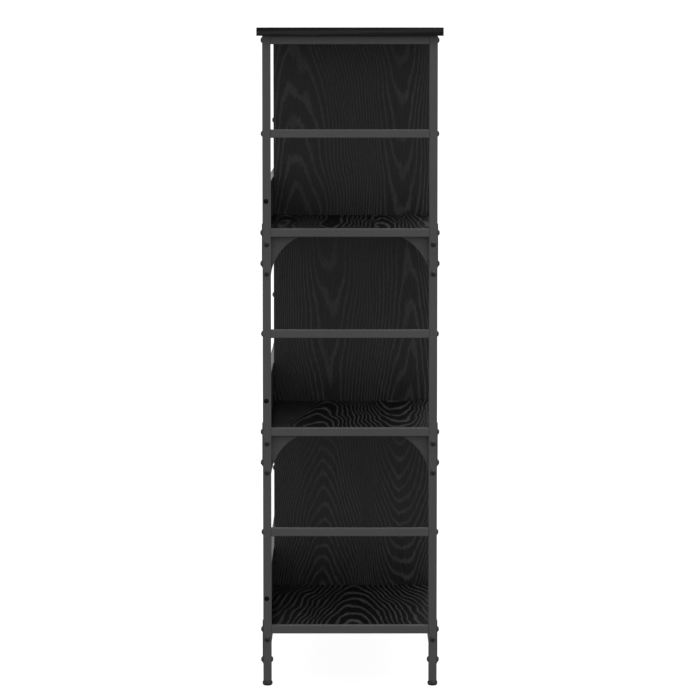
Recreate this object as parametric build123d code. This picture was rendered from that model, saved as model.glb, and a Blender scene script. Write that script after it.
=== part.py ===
"""Free-standing bookcase: three stacked modules of square steel tube with dark oak boards.

Each module has a fixed shelf, a centre divider, a low guard board along the back and a guard rail
halfway up each side. The origin is the middle of the footprint on the floor: +X runs along the
width, -Y is the front and +Z is up. All sizes are in millimetres.
"""

import os

from build123d import *

# ---------------------------------------------------------------- driving dimensions
FRAME_WIDTH = 980.0  # outside of the left posts to outside of the right posts
FRAME_DEPTH = 315.0  # outside of the front posts to outside of the back posts
TUBE = 15.0  # square tube of posts and side rails
WALL = 1.2  # wall of every tube
TUBE_RADIUS = 1.5  # outside corner of every tube
END_CHAMFER = 0.4  # outside edge of a post's ends, so that a seam shows as a fine groove
LEAST_RADIUS = 0.2  # inside corner of a tube whose wall is thicker than its outside corner

BOARD = 15.0  # shelves, dividers and top board
BOARD_EDGE = 0.8  # rounding of a board's long edges
TOP_OVERHANG = 10.0  # top board beyond the frame, all round
DIVIDER_SETBACK = 2.0  # divider behind the front of the frame

LEG_HEIGHT = 96.0  # floor to the underside of the lowest side rail
MODULE_PITCH = 360.5  # one shelf rail to the next
TOP_PITCH = 345.5  # highest shelf rail to the rail under the top board
MID_RISE = 178.0  # shelf rail to the guard rail above it
SEAM_DROP = 30.0  # joint between stacked posts, below the shelf rail

LOWER_RAIL_HEIGHT = 20.0  # long rails under the lowest shelf
UPPER_RAIL_HEIGHT = 25.0  # long rails under the other two shelves

GUARD_HEIGHT = 74.0
GUARD_THICKNESS = 10.0
GUARD_SCREW_RISE = 49.0  # above the shelf
GUARD_SCREW_DEPTH = 3.5  # behind the guard's inner face

GUSSET_REACH = 52.0  # plates between side rail and post
GUSSET_PAST_BOLT = 21.5  # plate's lower tip below the front-to-back bolt
GUSSET_SAG = 12.0  # depth of the hollow curve below its chord
GUSSET_PLATE = 1.6  # flush with the tube's inner side

BRACKET_PLATE = 1.2  # plates on the front and back faces of the posts
BRACKET_RISE = 24.0  # top end above the shelf rail's underside
BRACKET_REACH = 52.0  # arm beyond the post
BRACKET_ARM = 12.0  # height of the arm
BRACKET_ARCH = 36.0  # radius of the arch between leg and arm
BRACKET_TIP = 3.0  # rounding of the arm's corner and of the top end

BOLT_SHANK = 6.0
HEAD_DIAMETER = 10.5
HEAD_HEIGHT = 3.3
HEAD_RIM = 0.6  # straight rim under the dome
SOCKET_FLATS = 4.0
SOCKET_DEPTH = 2.0
BOLT_CHAMFER = 0.8
BOLT_PROJECTION = 3.0  # thread past the rail nut
RAIL_NUT_LENGTH = 12.0
BARREL_WALL = 1.0  # barrel nut round its bolt
BARREL_LENGTH = 9.0
BARREL_FLOOR = 1.0  # metal left under the barrel nut's head
BOLT_STOP_GAP = 1.0  # splice bolt's tip to the bottom of the nut's bore
BRACKET_BOLT_DROP = 48.0  # front-to-back bolt, below the shelf rail's underside
LOCK_BOLT_SPACING = 17.5  # side bolt that locks the splice, below the front-to-back one

SLEEVE_WALL = 1.5
SLEEVE_RADIUS = 1.0  # outside corner
SLEEVE_UP = 24.0  # sleeve above the seam
SLEEVE_PAST_BOLT = 9.5  # sleeve below the side bolt that locks it

SCREW_SHANK = 4.0
SCREW_HEAD = 8.0
SCREW_HEAD_HEIGHT = 2.4
SCREW_SLOT = 0.8  # width of each arm of the cross recess
SCREW_POINT = 3.0  # length of the tapered point
GUARD_SCREW_BITE = 28.0  # in the guard board
BOARD_SCREW_BITE = 11.5  # in a shelf or the top board
SCREW_ACCESS = 9.0  # hole for the head in a tube's outer wall
RAIL_SCREW_INSET = 75.0  # outer board screws from the post
TOP_SCREW_SPACING = 160.0

DOWEL_DIAMETER = 8.0
DOWEL_LENGTH = 30.0
DOWEL_IN_BOARD = 10.0
DOWEL_SPACING_BELOW = 120.0  # under a divider
DOWEL_SPACING_ABOVE = 200.0  # over a divider

FOOT_HEIGHT = 9.0
FOOT_DIAMETER = 18.4
FOOT_ROUNDING = 3.2  # lower edge of the pad
FOOT_TOP_ROUNDING = 1.4
STUD_DIAMETER = 8.0
STUD_PAST_INSERT = 5.0  # stud above its threaded insert

# ---------------------------------------------------------------- clearances
BOARD_GAP = 0.5  # board end to side frame
BOLT_CLEARANCE = 0.6  # on the diameter, in tube and plate
THREAD_CLEARANCE = 0.1  # on the diameter, bolt or stud in its thread
BARREL_CLEARANCE = 0.4  # on the diameter, barrel nut in tube
SLIP = 0.15  # per side, sleeve, insert or nut inside a tube
BLOCK_ROUNDING = 0.5  # corners of an insert or nut, beyond the tube's inside corner
PILOT_CLEARANCE = 0.1  # on the diameter, screw or dowel in wood
NOTCH_CLEARANCE = 1.0  # divider round a long rail
NUT_CLEARANCE = 1.0  # on a nut head's diameter and over it, in the plate beside it
STUD_ROOM = 10.0  # stud to the lowest barrel nut above it
CUT_MARGIN = 1.0  # a cut beyond the face that it opens

# ---------------------------------------------------------------- places worked out from them
LEVELS = ("lower", "middle", "upper")
SIDES = {"left": -1, "right": 1}
FACES = {"front": -1, "back": 1}

HALF_WIDTH = FRAME_WIDTH / 2
HALF_DEPTH = FRAME_DEPTH / 2
POST_X = HALF_WIDTH - TUBE / 2
POST_Y = HALF_DEPTH - TUBE / 2
BOARD_HALF = HALF_WIDTH - TUBE - BOARD_GAP

RAIL_Z = {level: LEG_HEIGHT + step * MODULE_PITCH for step, level in enumerate(LEVELS)}
SHELF_Z = {level: z + TUBE - BOARD for level, z in RAIL_Z.items()}  # underside of the shelf
LONG_RAIL_HEIGHT = dict(zip(LEVELS, (LOWER_RAIL_HEIGHT, UPPER_RAIL_HEIGHT, UPPER_RAIL_HEIGHT)))
TOP_RAIL_Z = RAIL_Z["upper"] + TOP_PITCH
TOP_Z = TOP_RAIL_Z + TUBE  # underside of the top board
SEAM_Z = {level: RAIL_Z[level] - SEAM_DROP for level in LEVELS[1:]}
POST_SPAN = {
    "lower": (FOOT_HEIGHT, SEAM_Z["middle"]),
    "middle": (SEAM_Z["middle"], SEAM_Z["upper"]),
    "upper": (SEAM_Z["upper"], TOP_Z),
}
DIVIDER_TOP = {"lower": SHELF_Z["middle"], "middle": SHELF_Z["upper"], "upper": TOP_Z}

SIDE_RAIL_Z = {f"{level}_shelf": z for level, z in RAIL_Z.items()}
SIDE_RAIL_Z |= {f"{level}_guard": z + MID_RISE for level, z in RAIL_Z.items()}
SIDE_RAIL_Z["top"] = TOP_RAIL_Z

LONG_BOLT_Z = {level: SHELF_Z[level] - LONG_RAIL_HEIGHT[level] / 2 for level in LEVELS}
BRACKET_BOLT_Z = {level: z - BRACKET_BOLT_DROP for level, z in RAIL_Z.items()}
LOCK_BOLT_Z = {level: BRACKET_BOLT_Z[level] - LOCK_BOLT_SPACING for level in LEVELS[1:]}

INNER_RADIUS = max(TUBE_RADIUS - WALL, LEAST_RADIUS)
INNER_SQUARE = TUBE - 2 * WALL - 2 * SLIP
BARREL_DIAMETER = BOLT_SHANK + 2 * BARREL_WALL
RAIL_BOLT_LENGTH = TUBE + RAIL_NUT_LENGTH + BOLT_PROJECTION
SPLICE_BOLT_LENGTH = TUBE - BARREL_FLOOR - BOLT_STOP_GAP
GUSSET_DROP = BRACKET_BOLT_DROP + GUSSET_PAST_BOLT
STUD_LENGTH = BRACKET_BOLT_Z["lower"] - BARREL_DIAMETER / 2 - STUD_ROOM - FOOT_HEIGHT
INSERT_LENGTH = STUD_LENGTH - STUD_PAST_INSERT
GUARD_SCREW_Y = HALF_DEPTH - GUARD_THICKNESS + GUARD_SCREW_DEPTH
GUARD_SCREW_Z = {level: SHELF_Z[level] + BOARD + GUARD_SCREW_RISE for level in LEVELS}
RAIL_SCREW_X = HALF_WIDTH - TUBE - RAIL_SCREW_INSET
RAIL_SCREW_XS = (-RAIL_SCREW_X, 0.0, RAIL_SCREW_X)

X_AXIS, Y_AXIS, Z_AXIS = Vector(1, 0, 0), Vector(0, 1, 0), Vector(0, 0, 1)


# ---------------------------------------------------------------- shared shapes
def tube(start, direction, across, length, size=(TUBE, TUBE), wall=WALL, radius=TUBE_RADIUS):
    """Rounded hollow section from start along direction; the first size is measured along across."""
    outer = RectangleRounded(*size, radius)
    inner = RectangleRounded(size[0] - 2 * wall, size[1] - 2 * wall, max(radius - wall, LEAST_RADIUS))
    return extrude(Plane(origin=start, x_dir=across, z_dir=direction) * (outer - inner), length)


def hole(centre, direction, diameter, length):
    """Cylinder centred on centre, used to cut a hole."""
    return Plane(origin=centre, z_dir=direction) * Cylinder(diameter / 2, length)


def turned(outline):
    """Solid of revolution about the local Z axis from an outline of edges in radius and height."""
    return revolve(Plane.XZ * make_face(outline), Axis.Z)


def placed(shape, seat, inward):
    """Shape modelled along +Z from its seat, moved to a seat point and turned to look inward."""
    return Plane(origin=seat, z_dir=inward) * shape


def dome_outline(radius, height, rim):
    """Upper outline of a domed head: from the rim, over the dome, to the axis at -height."""
    half_chord = radius / 2
    rise = height - rim
    ball = (radius**2 + rise**2) / (2 * rise)
    crown = ball - (ball**2 - half_chord**2) ** 0.5
    return [
        Line((radius, 0), (radius, -rim)),
        ThreePointArc((radius, -rim), (half_chord, -height + crown), (0, -height)),
    ]


def hex_socket(head_height):
    """Hexagonal recess in the top of a head."""
    hexagon = RegularPolygon(SOCKET_FLATS / 2, 6, major_radius=False)
    return extrude(Plane(origin=(0, 0, -head_height)) * hexagon, SOCKET_DEPTH)


def button_bolt(length):
    """Domed hexagon-socket bolt: head below Z = 0, shank above it."""
    shank = BOLT_SHANK / 2
    outline = dome_outline(HEAD_DIAMETER / 2, HEAD_HEIGHT, HEAD_RIM) + [
        Line((0, -HEAD_HEIGHT), (0, length)),
        Line((0, length), (shank - BOLT_CHAMFER, length)),
        Line((shank - BOLT_CHAMFER, length), (shank, length - BOLT_CHAMFER)),
        Line((shank, length - BOLT_CHAMFER), (shank, 0)),
        Line((shank, 0), (HEAD_DIAMETER / 2, 0)),
    ]
    return turned(outline) - hex_socket(HEAD_HEIGHT)


def barrel_nut():
    """Sleeve nut with the bolt's own domed head, its barrel above Z = 0."""
    barrel, bore = BARREL_DIAMETER / 2, (BOLT_SHANK + THREAD_CLEARANCE) / 2
    outline = dome_outline(HEAD_DIAMETER / 2, HEAD_HEIGHT, HEAD_RIM) + [
        Line((0, -HEAD_HEIGHT), (0, BARREL_FLOOR)),
        Line((0, BARREL_FLOOR), (bore, BARREL_FLOOR)),
        Line((bore, BARREL_FLOOR), (bore, BARREL_LENGTH)),
        Line((bore, BARREL_LENGTH), (barrel, BARREL_LENGTH)),
        Line((barrel, BARREL_LENGTH), (barrel, 0)),
        Line((barrel, 0), (HEAD_DIAMETER / 2, 0)),
    ]
    return turned(outline) - hex_socket(HEAD_HEIGHT)


def wood_screw(length):
    """Pan-head wood screw with a cross recess: head below Z = 0, shank and point above it."""
    head, shank, corner = SCREW_HEAD / 2, SCREW_SHANK / 2, SCREW_HEAD_HEIGHT / 2
    outline = [
        Line((0, -SCREW_HEAD_HEIGHT), (head - corner, -SCREW_HEAD_HEIGHT)),
        RadiusArc((head - corner, -SCREW_HEAD_HEIGHT), (head, -corner), -corner),
        Line((head, -corner), (head, 0)),
        Line((head, 0), (shank, 0)),
        Line((shank, 0), (shank, length - SCREW_POINT)),
        Line((shank, length - SCREW_POINT), (0, length)),
        Line((0, length), (0, -SCREW_HEAD_HEIGHT)),
    ]
    slot = Pos(0, 0, -SCREW_HEAD_HEIGHT + corner / 2) * Box(SCREW_SHANK, SCREW_SLOT, corner)
    return turned(outline) - slot - Rot(0, 0, 90) * slot


def board(x_size, y_size, z_size, low_corner):
    """Panel from its low corner, with its longest edges rounded."""
    panel = Pos(*low_corner) * Box(x_size, y_size, z_size, align=(Align.MIN, Align.MIN, Align.MIN))
    sizes = {Axis.X: x_size, Axis.Y: y_size, Axis.Z: z_size}
    longest = max(sizes, key=sizes.get)
    return fillet(panel.edges().filter_by(longest), BOARD_EDGE)


# ---------------------------------------------------------------- where the fasteners sit
def corners():
    """Name and signs of the four corners of the frame."""
    return [(f"{face}_{side}", sx, sy) for side, sx in SIDES.items() for face, sy in FACES.items()]


def rail_bolts_at(sx, sy):
    """Seat and inward direction of every bolt into a rail nut at one corner."""
    seats = []
    for name, z in SIDE_RAIL_Z.items():
        plate = BRACKET_PLATE if name.endswith("shelf") else 0.0
        seats.append((Vector(sx * POST_X, sy * (HALF_DEPTH + plate), z + TUBE / 2), Y_AXIS * -sy))
    for z in LONG_BOLT_Z.values():
        seats.append((Vector(sx * HALF_WIDTH, sy * POST_Y, z), X_AXIS * -sx))
    return seats


def splice_bolts_at(sx, sy):
    """Bolt seat, nut seat and inward direction of every bolt that meets a barrel nut at one corner."""
    pairs = []
    for z in BRACKET_BOLT_Z.values():
        bolt = Vector(sx * POST_X, sy * (HALF_DEPTH + BRACKET_PLATE), z)
        pairs.append((bolt, Vector(sx * POST_X, sy * (HALF_DEPTH - TUBE), z), Y_AXIS * -sy))
    for z in LOCK_BOLT_Z.values():
        bolt = Vector(sx * HALF_WIDTH, sy * POST_Y, z)
        pairs.append((bolt, Vector(sx * (HALF_WIDTH - TUBE), sy * POST_Y, z), X_AXIS * -sx))
    return pairs


def corner_holes(sx, sy):
    """Every cut that the corner's bolts need in a post or in the sleeve inside it."""
    cuts = []
    through = TUBE + 2 * (BRACKET_PLATE + CUT_MARGIN)
    half = TUBE / 2 + 2 * CUT_MARGIN
    for seat, inward in rail_bolts_at(sx, sy):
        cuts.append(hole(seat + inward * (TUBE / 2), inward, BOLT_SHANK + BOLT_CLEARANCE, through))
    for bolt, nut, inward in splice_bolts_at(sx, sy):
        cuts.append(hole(bolt + inward * (TUBE / 4), inward, BOLT_SHANK + BOLT_CLEARANCE, half))
        cuts.append(hole(nut - inward * (TUBE / 4), inward, BARREL_DIAMETER + BARREL_CLEARANCE, half))
    return cuts


def cut_within(shape, cuts, low, high):
    """Shape less each cut that reaches between two heights."""
    for cut in cuts:
        reach = cut.bounding_box()
        if low < reach.max.Z and reach.min.Z < high:
            shape -= cut
    return shape


# ---------------------------------------------------------------- steel frame
def post(level, sx, sy):
    """One of the three stacked lengths of a corner post."""
    low, high = POST_SPAN[level]
    shape = tube(Vector(sx * POST_X, sy * POST_Y, low), Z_AXIS, X_AXIS, high - low)
    ends = shape.faces().sort_by(Axis.Z)
    rims = ends[0].outer_wire().edges() + ends[-1].outer_wire().edges()
    shape = chamfer(rims, END_CHAMFER)
    shape = cut_within(shape, corner_holes(sx, sy), low, high)
    if sy == FACES["back"]:
        for z in GUARD_SCREW_Z.values():
            if low < z < high:
                outer, inner = sx * (HALF_WIDTH - WALL / 2), sx * (HALF_WIDTH - TUBE + WALL / 2)
                shape -= hole((outer, GUARD_SCREW_Y, z), X_AXIS, SCREW_ACCESS, 3 * WALL)
                shape -= hole((inner, GUARD_SCREW_Y, z), X_AXIS, SCREW_SHANK + BOLT_CLEARANCE, 3 * WALL)
    return shape


def side_rail(sx, z, screwed):
    """Rail between the front and back posts; the top one has holes for the board screws."""
    start = Vector(sx * POST_X, -(HALF_DEPTH - TUBE), z + TUBE / 2)
    shape = tube(start, Y_AXIS, X_AXIS, FRAME_DEPTH - 2 * TUBE)
    if screwed:
        for y in (-TOP_SCREW_SPACING / 2, TOP_SCREW_SPACING / 2):
            shape -= hole((sx * POST_X, y, z), Z_AXIS, SCREW_ACCESS, 3 * WALL)
            shape -= hole((sx * POST_X, y, z + TUBE), Z_AXIS, SCREW_SHANK + BOLT_CLEARANCE, 3 * WALL)
    return shape


def long_rail(level, sy):
    """Rail under a shelf's front or back edge, between the left and right posts."""
    height, top = LONG_RAIL_HEIGHT[level], SHELF_Z[level]
    start = Vector(-(HALF_WIDTH - TUBE), sy * POST_Y, top - height / 2)
    shape = tube(start, X_AXIS, Y_AXIS, FRAME_WIDTH - 2 * TUBE, (TUBE, height))
    for x in RAIL_SCREW_XS:
        shape -= hole((x, sy * POST_Y, top - height), Z_AXIS, SCREW_ACCESS, 3 * WALL)
        shape -= hole((x, sy * POST_Y, top), Z_AXIS, SCREW_SHANK + BOLT_CLEARANCE, 3 * WALL)
    return shape


def side_gussets():
    """Hollow-curved plates under the two upper shelf rails, in the corners of each side frame."""
    chord = (GUSSET_REACH**2 + GUSSET_DROP**2) ** 0.5
    middle = (
        GUSSET_REACH / 2 - GUSSET_SAG * GUSSET_DROP / chord,
        -GUSSET_DROP / 2 + GUSSET_SAG * GUSSET_REACH / chord,
    )
    outline = Line((GUSSET_REACH, 0), (0, 0)) + Line((0, 0), (0, -GUSSET_DROP))
    outline += ThreePointArc((0, -GUSSET_DROP), middle, (GUSSET_REACH, 0))
    plates = []
    for sx in SIDES.values():
        for sy in FACES.values():
            for level in LEVELS[1:]:
                x, y = sx * (HALF_WIDTH - TUBE + GUSSET_PLATE / 2), sy * (HALF_DEPTH - TUBE)
                corner = Plane(origin=(x, y, RAIL_Z[level]), x_dir=(0, -sy, 0), z_dir=(-sy, 0, 0))
                plate = extrude(corner * make_face(outline), GUSSET_PLATE / 2, both=True)
                nut = (sx * POST_X, y, BRACKET_BOLT_Z[level])
                room = 2 * (HEAD_HEIGHT + NUT_CLEARANCE)
                plates.append(plate - hole(nut, Y_AXIS, HEAD_DIAMETER + NUT_CLEARANCE, room))
    return plates


def corner_brackets(sy):
    """Arched plates on the outer face of the posts, one under each end of each shelf."""
    bend = TUBE + BRACKET_ARCH
    end = TUBE + BRACKET_REACH
    low = -BRACKET_BOLT_DROP
    arm_low = low + BRACKET_ARCH
    arm_high = arm_low + BRACKET_ARM
    outline = (
        Line((0, low), (0, BRACKET_RISE - BRACKET_TIP))
        + RadiusArc((0, BRACKET_RISE - BRACKET_TIP), (BRACKET_TIP, BRACKET_RISE), BRACKET_TIP)
        + Line((BRACKET_TIP, BRACKET_RISE), (TUBE - BRACKET_TIP, BRACKET_RISE))
        + RadiusArc((TUBE - BRACKET_TIP, BRACKET_RISE), (TUBE, BRACKET_RISE - BRACKET_TIP), BRACKET_TIP)
        + Line((TUBE, BRACKET_RISE - BRACKET_TIP), (TUBE, arm_high))
        + Line((TUBE, arm_high), (end - BRACKET_TIP, arm_high))
        + RadiusArc((end - BRACKET_TIP, arm_high), (end, arm_high - BRACKET_TIP), BRACKET_TIP)
        + Line((end, arm_high - BRACKET_TIP), (end, arm_low))
        + Line((end, arm_low), (bend, arm_low))
        + RadiusArc((bend, arm_low), (TUBE, low), -BRACKET_ARCH)
        + RadiusArc((TUBE, low), (0, low), TUBE / 2)
    )
    plates = []
    for sx in SIDES.values():
        for level in LEVELS:
            face = Plane(
                origin=(sx * HALF_WIDTH, sy * (HALF_DEPTH + BRACKET_PLATE / 2), RAIL_Z[level]),
                x_dir=(-sx, 0, 0),
                z_dir=(0, sx, 0),
            )
            plate = extrude(face * make_face(outline), BRACKET_PLATE / 2, both=True)
            for z in (RAIL_Z[level] + TUBE / 2, BRACKET_BOLT_Z[level]):
                centre = (sx * POST_X, sy * HALF_DEPTH, z)
                plate -= hole(centre, Y_AXIS, BOLT_SHANK + BOLT_CLEARANCE, 4 * BRACKET_PLATE)
            plates.append(plate)
    return plates


# ---------------------------------------------------------------- wooden boards
def dowel_spots(level):
    """Middle of each dowel that locates a divider, under and over it."""
    low, high = SHELF_Z[level] + BOARD, DIVIDER_TOP[level]
    spots = []
    for y in (-DOWEL_SPACING_BELOW / 2, DOWEL_SPACING_BELOW / 2):
        spots.append(Vector(0, y, low - DOWEL_IN_BOARD + DOWEL_LENGTH / 2))
    for y in (-DOWEL_SPACING_ABOVE / 2, DOWEL_SPACING_ABOVE / 2):
        spots.append(Vector(0, y, high + DOWEL_IN_BOARD - DOWEL_LENGTH / 2))
    return spots


def all_dowel_spots():
    """Middle of every dowel."""
    return [spot for level in LEVELS for spot in dowel_spots(level)]


def dowel_holes(spots):
    """Holes for dowels in wood."""
    return [hole(spot, Z_AXIS, DOWEL_DIAMETER + PILOT_CLEARANCE, DOWEL_LENGTH) for spot in spots]


def near(spots, low, high):
    """The dowels that reach between two heights."""
    return [spot for spot in spots if low < spot.Z + DOWEL_LENGTH / 2 and spot.Z - DOWEL_LENGTH / 2 < high]


def shelf_screw_spots(level):
    """Underside of the shelf at each screw that holds it to its long rails."""
    return [Vector(x, sy * POST_Y, SHELF_Z[level]) for x in RAIL_SCREW_XS for sy in FACES.values()]


def top_screw_spots():
    """Underside of the top board at each screw that holds it to the top side rails."""
    ys = (-TOP_SCREW_SPACING / 2, TOP_SCREW_SPACING / 2)
    return [Vector(sx * POST_X, y, TOP_Z) for sx in SIDES.values() for y in ys]


def screw_pilots(spots):
    """Blind holes for the board screws, up from the underside of a board."""
    depth = BOARD_SCREW_BITE + PILOT_CLEARANCE
    diameter = SCREW_SHANK + PILOT_CLEARANCE
    return [hole(spot + Z_AXIS * (depth / 2), Z_AXIS, diameter, depth) for spot in spots]


def shelf(level):
    """Fixed shelf between the side frames, on its two long rails."""
    z = SHELF_Z[level]
    panel = board(2 * BOARD_HALF, FRAME_DEPTH, BOARD, (-BOARD_HALF, -HALF_DEPTH, z))
    holes = dowel_holes(near(all_dowel_spots(), z, z + BOARD)) + screw_pilots(shelf_screw_spots(level))
    return panel - holes


def top_board():
    """Board over the whole frame."""
    half_x, half_y = HALF_WIDTH + TOP_OVERHANG, HALF_DEPTH + TOP_OVERHANG
    panel = board(2 * half_x, 2 * half_y, BOARD, (-half_x, -half_y, TOP_Z))
    holes = dowel_holes(near(all_dowel_spots(), TOP_Z, TOP_Z + BOARD)) + screw_pilots(top_screw_spots())
    return panel - holes


def divider(level):
    """Upright between two shelves, notched round the long rails of the shelf above."""
    low, high = SHELF_Z[level] + BOARD, DIVIDER_TOP[level]
    front, back = -HALF_DEPTH + DIVIDER_SETBACK, HALF_DEPTH - GUARD_THICKNESS
    panel = board(BOARD, back - front, high - low, (-BOARD / 2, front, low))
    above = {"lower": "middle", "middle": "upper"}.get(level)
    if above:
        height = LONG_RAIL_HEIGHT[above] + NOTCH_CLEARANCE
        for sy in FACES.values():
            notch = Box(BOARD + 2 * CUT_MARGIN, TUBE + 2 * NOTCH_CLEARANCE, 2 * height)
            panel -= Pos(0, sy * POST_Y, high) * notch
    return panel - dowel_holes(dowel_spots(level))


def back_guard(level):
    """Low board along the back of a shelf, screwed through the back posts."""
    low = SHELF_Z[level] + BOARD
    corner = (-BOARD_HALF, HALF_DEPTH - GUARD_THICKNESS, low)
    panel = board(2 * BOARD_HALF, GUARD_THICKNESS, GUARD_HEIGHT, corner)
    length = GUARD_SCREW_BITE + PILOT_CLEARANCE
    for sx in SIDES.values():
        centre = (sx * (BOARD_HALF - length / 2), GUARD_SCREW_Y, GUARD_SCREW_Z[level])
        panel -= hole(centre, X_AXIS, SCREW_SHANK + PILOT_CLEARANCE, length)
    return panel


# ---------------------------------------------------------------- fasteners and inner pieces
def rail_bolts():
    """Bolts that run through a post into the nut in a rail's end."""
    bolt = button_bolt(RAIL_BOLT_LENGTH)
    spots = [spot for _, sx, sy in corners() for spot in rail_bolts_at(sx, sy)]
    return [placed(bolt, seat, inward) for seat, inward in spots]


def splice_bolts():
    """Short bolts that meet a barrel nut across a post."""
    bolt = button_bolt(SPLICE_BOLT_LENGTH)
    spots = [spot for _, sx, sy in corners() for spot in splice_bolts_at(sx, sy)]
    return [placed(bolt, seat, inward) for seat, _, inward in spots]


def barrel_nuts():
    """Barrel nuts on the inner faces of the posts."""
    nut = barrel_nut()
    spots = [spot for _, sx, sy in corners() for spot in splice_bolts_at(sx, sy)]
    return [placed(nut, seat, inward * -1) for _, seat, inward in spots]


def threaded_block(width, height, length, thread):
    """Block that fills the end of a tube, with a thread along it, its length above Z = 0."""
    block = extrude(RectangleRounded(width, height, INNER_RADIUS + BLOCK_ROUNDING), length)
    return block - Cylinder((thread + THREAD_CLEARANCE) / 2, 3 * length)


def side_rail_nuts():
    """Nuts in the ends of the side rails."""
    nut = threaded_block(INNER_SQUARE, INNER_SQUARE, RAIL_NUT_LENGTH, BOLT_SHANK)
    nuts = []
    for _, sx, sy in corners():
        for z in SIDE_RAIL_Z.values():
            seat = (sx * POST_X, sy * (HALF_DEPTH - TUBE), z + TUBE / 2)
            nuts.append(Plane(origin=seat, x_dir=X_AXIS, z_dir=Y_AXIS * -sy) * nut)
    return nuts


def long_rail_nuts():
    """Nuts in the ends of the long rails."""
    nuts = []
    for _, sx, sy in corners():
        for level in LEVELS:
            height = LONG_RAIL_HEIGHT[level] - 2 * WALL - 2 * SLIP
            seat = (sx * (HALF_WIDTH - TUBE), sy * POST_Y, LONG_BOLT_Z[level])
            nut = threaded_block(INNER_SQUARE, height, RAIL_NUT_LENGTH, BOLT_SHANK)
            nuts.append(Plane(origin=seat, x_dir=Y_AXIS, z_dir=X_AXIS * -sx) * nut)
    return nuts


def splice_sleeves():
    """Square sleeves inside the posts, across each seam."""
    section = (INNER_SQUARE, INNER_SQUARE)
    sleeves = []
    for _, sx, sy in corners():
        cuts = corner_holes(sx, sy)
        for level, seam in SEAM_Z.items():
            low, high = LOCK_BOLT_Z[level] - SLEEVE_PAST_BOLT, seam + SLEEVE_UP
            start = Vector(sx * POST_X, sy * POST_Y, low)
            sleeve = tube(start, Z_AXIS, X_AXIS, high - low, section, SLEEVE_WALL, SLEEVE_RADIUS)
            sleeves.append(cut_within(sleeve, cuts, low, high))
    return sleeves


def foot_inserts():
    """Threaded blocks pressed into the lower ends of the posts."""
    block = threaded_block(INNER_SQUARE, INNER_SQUARE, INSERT_LENGTH, STUD_DIAMETER)
    return [Pos(sx * POST_X, sy * POST_Y, FOOT_HEIGHT) * block for _, sx, sy in corners()]


def levelling_foot(sx, sy):
    """Round glide on a threaded stud, screwed fully in."""
    pad, stud, top = FOOT_DIAMETER / 2, STUD_DIAMETER / 2, FOOT_HEIGHT + STUD_LENGTH
    low, high = FOOT_ROUNDING, FOOT_HEIGHT - FOOT_TOP_ROUNDING
    outline = [
        Line((0, 0), (pad - low, 0)),
        RadiusArc((pad - low, 0), (pad, low), -low),
        Line((pad, low), (pad, high)),
        RadiusArc((pad, high), (pad - FOOT_TOP_ROUNDING, FOOT_HEIGHT), -FOOT_TOP_ROUNDING),
        Line((pad - FOOT_TOP_ROUNDING, FOOT_HEIGHT), (stud, FOOT_HEIGHT)),
        Line((stud, FOOT_HEIGHT), (stud, top - BOLT_CHAMFER)),
        Line((stud, top - BOLT_CHAMFER), (stud - BOLT_CHAMFER, top)),
        Line((stud - BOLT_CHAMFER, top), (0, top)),
        Line((0, top), (0, 0)),
    ]
    return Pos(sx * POST_X, sy * POST_Y, 0) * turned(outline)


def guard_screws():
    """Screws through the back posts into the ends of the guard boards."""
    screw = wood_screw(WALL + BOARD_GAP + GUARD_SCREW_BITE)
    screws = []
    for sx in SIDES.values():
        for z in GUARD_SCREW_Z.values():
            seat = (sx * (HALF_WIDTH - TUBE + WALL), GUARD_SCREW_Y, z)
            screws.append(placed(screw, seat, X_AXIS * -sx))
    return screws


def board_screws():
    """Screws up through the long rails and the top side rails into the boards."""
    screw = wood_screw(WALL + BOARD_SCREW_BITE)
    spots = [spot for level in LEVELS for spot in shelf_screw_spots(level)] + top_screw_spots()
    return [placed(screw, spot - Z_AXIS * WALL, Z_AXIS) for spot in spots]


def dowels():
    """Wooden dowels above and below the dividers."""
    return [Pos(*spot) * Cylinder(DOWEL_DIAMETER / 2, DOWEL_LENGTH) for spot in all_dowel_spots()]


# ---------------------------------------------------------------- the set of nodes
def build():
    """Every node's name and its shape or list of separate solids."""
    nodes = {"top_board": top_board()}
    for level in LEVELS:
        nodes[f"shelf_{level}"] = shelf(level)
        nodes[f"divider_{level}"] = divider(level)
        nodes[f"back_guard_{level}"] = back_guard(level)
        for face, sy in FACES.items():
            nodes[f"{face}_rail_{level}"] = long_rail(level, sy)
        for name, sx, sy in corners():
            nodes[f"post_{name}_{level}"] = post(level, sx, sy)
    for side, sx in SIDES.items():
        for name, z in SIDE_RAIL_Z.items():
            nodes[f"side_rail_{side}_{name}"] = side_rail(sx, z, screwed=name == "top")
    nodes["side_gussets"] = side_gussets()
    for face, sy in FACES.items():
        nodes[f"corner_brackets_{face}"] = corner_brackets(sy)
    for name, sx, sy in corners():
        nodes[f"levelling_foot_{name}"] = levelling_foot(sx, sy)
    nodes["rail_bolts"] = rail_bolts()
    nodes["splice_bolts"] = splice_bolts()
    nodes["barrel_nuts"] = barrel_nuts()
    nodes["side_rail_nuts"] = side_rail_nuts()
    nodes["long_rail_nuts"] = long_rail_nuts()
    nodes["splice_sleeves"] = splice_sleeves()
    nodes["foot_inserts"] = foot_inserts()
    nodes["guard_screws"] = guard_screws()
    nodes["board_screws"] = board_screws()
    nodes["dowels"] = dowels()
    return nodes


os.makedirs("parts", exist_ok=True)
for node, shape in build().items():
    solids = shape if isinstance(shape, list) else [shape]
    export_step(Compound([solid for piece in solids for solid in piece.solids()]), f"parts/{node}.step")
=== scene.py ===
"""Looks of a free-standing bookcase: dark powder-coated tube frame, black oak boards, levelling feet.

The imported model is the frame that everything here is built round. Every piece is in metres, in the
same axes: +X along the width, -Y the open front, +Z up, with the origin on the floor.
"""

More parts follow.
